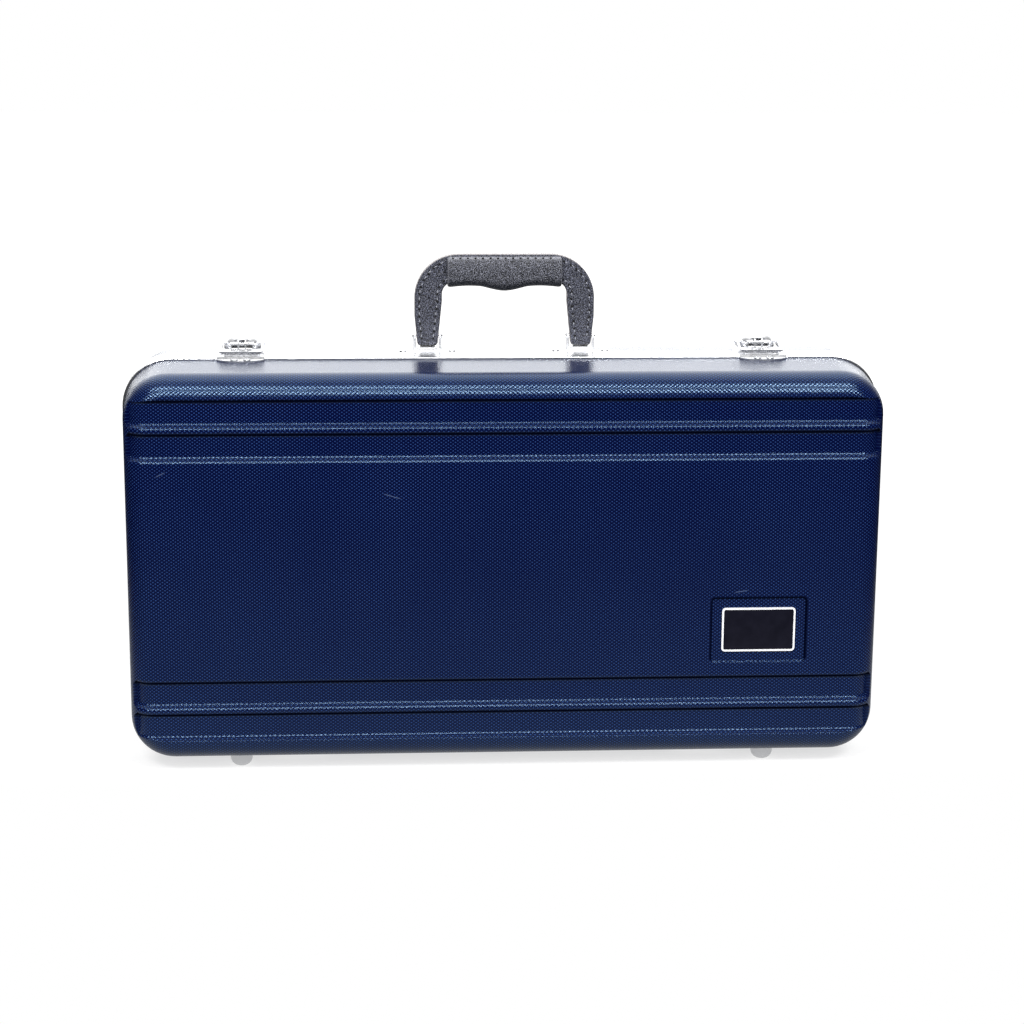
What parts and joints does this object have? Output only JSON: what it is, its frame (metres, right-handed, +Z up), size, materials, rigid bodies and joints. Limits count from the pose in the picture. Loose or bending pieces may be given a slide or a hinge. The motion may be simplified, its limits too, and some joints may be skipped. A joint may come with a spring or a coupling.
{
  "type": "trumpet case",
  "caption": "Moulded instrument case with grooved shells, metal edging, two draw latches, a hinged lid, a fitted insert and a swinging handle.",
  "frame": {"origin": "on the floor, below the middle of the case, in the plane where the two halves meet", "axes": "+X along the case, -Y towards the lid's face, +Z up towards the handle"},
  "size_m": [0.5474, 0.132, 0.3683],
  "materials": {
    "shell": "gloss, diamond embossed",
    "valance": "bright anodised",
    "foot": "polished",
    "hinge": "plated",
    "rivet": "plated",
    "latch": "polished",
    "handle_metal": "polished",
    "handle_steel": "plain",
    "handle_leather": "grained, stitched",
    "badge_black": "gloss",
    "badge_bright": "polished",
    "lining": "short plush",
    "cushion": "plush over foam",
    "inner_steel": "plain",
    "tab": "smooth"
  },
  "bodies": {
    "base": {"base_shell": "shell", "base_valance": "valance", "base_feet": "foot", "base_hinge_leaf_left": "hinge", "base_hinge_leaf_right": "hinge", "hinge_pins": "hinge", "base_hinge_rivets": "rivet", "latch_plate_left": "latch", "latch_plate_right": "latch", "latch_plate_rivets": "rivet", "latch_lever_pins": "latch", "handle_plate_left": "handle_metal", "handle_plate_right": "handle_metal", "handle_plate_rivets": "rivet", "base_insert": "lining", "compartment_hinge": "inner_steel"},
    "lid": {"lid_shell": "shell", "lid_valance": "valance", "lid_feet": "foot", "lid_hinge_leaf_left": "hinge", "lid_hinge_leaf_right": "hinge", "lid_hinge_rivets": "rivet", "latch_catch_left": "latch", "latch_catch_right": "latch", "latch_catch_rivets": "rivet", "badge_plate": "badge_black", "badge_rim": "badge_bright", "lid_liner": "lining", "lid_pad_bell": "cushion", "lid_pad_body": "cushion"},
    "handle": {"handle_cover": "handle_leather", "handle_core": "handle_steel", "handle_grip": "handle_leather", "handle_yoke_left": "handle_metal", "handle_yoke_right": "handle_metal", "handle_pins": "handle_metal"},
    "lever_left": {"latch_lever_left": "latch", "latch_link_pins_left": "latch"},
    "lever_right": {"latch_lever_right": "latch", "latch_link_pins_right": "latch"},
    "link_left": {"latch_link_left": "latch"},
    "link_right": {"latch_link_right": "latch"},
    "compartment": {"compartment_lid": "lining", "compartment_tab": "tab"}
  },
  "joints": [
    {"name": "lid_open", "type": "hinge", "parent": "base", "child": "lid", "pos_m": [0, 0, 0.00462], "axis": [1, 0, 0], "range_deg": [0, 105]},
    {"name": "handle_swing", "type": "hinge", "parent": "base", "child": "handle", "pos_m": [0, 0.0175, 0.29831], "axis": [1, 0, 0], "range_deg": [-55, 55]},
    {"name": "lever_left_open", "type": "hinge", "parent": "base", "child": "lever_left", "pos_m": [-0.1885, 0.012, 0.30382], "axis": [1, 0, 0], "range_deg": [0, 100]},
    {"name": "lever_right_open", "type": "hinge", "parent": "base", "child": "lever_right", "pos_m": [0.1885, 0.012, 0.30382], "axis": [1, 0, 0], "range_deg": [0, 100]},
    {"name": "link_left_turn", "type": "hinge", "parent": "lever_left", "child": "link_left", "pos_m": [-0.1885, 0.019, 0.30332], "axis": [1, 0, 0], "range_deg": [-125, 0]},
    {"name": "link_right_turn", "type": "hinge", "parent": "lever_right", "child": "link_right", "pos_m": [0.1885, 0.019, 0.30332], "axis": [1, 0, 0], "range_deg": [-125, 0]},
    {"name": "compartment_open", "type": "hinge", "parent": "base", "child": "compartment", "pos_m": [-0.135, 0.0027, 0.02412], "axis": [1, 0, 0], "range_deg": [0, 75]}
  ],
  "couplings": [
    {"joint": "link_left_turn", "follows": "lever_left_open", "ratio": -1.25},
    {"joint": "link_right_turn", "follows": "lever_right_open", "ratio": -1.25}
  ]
}
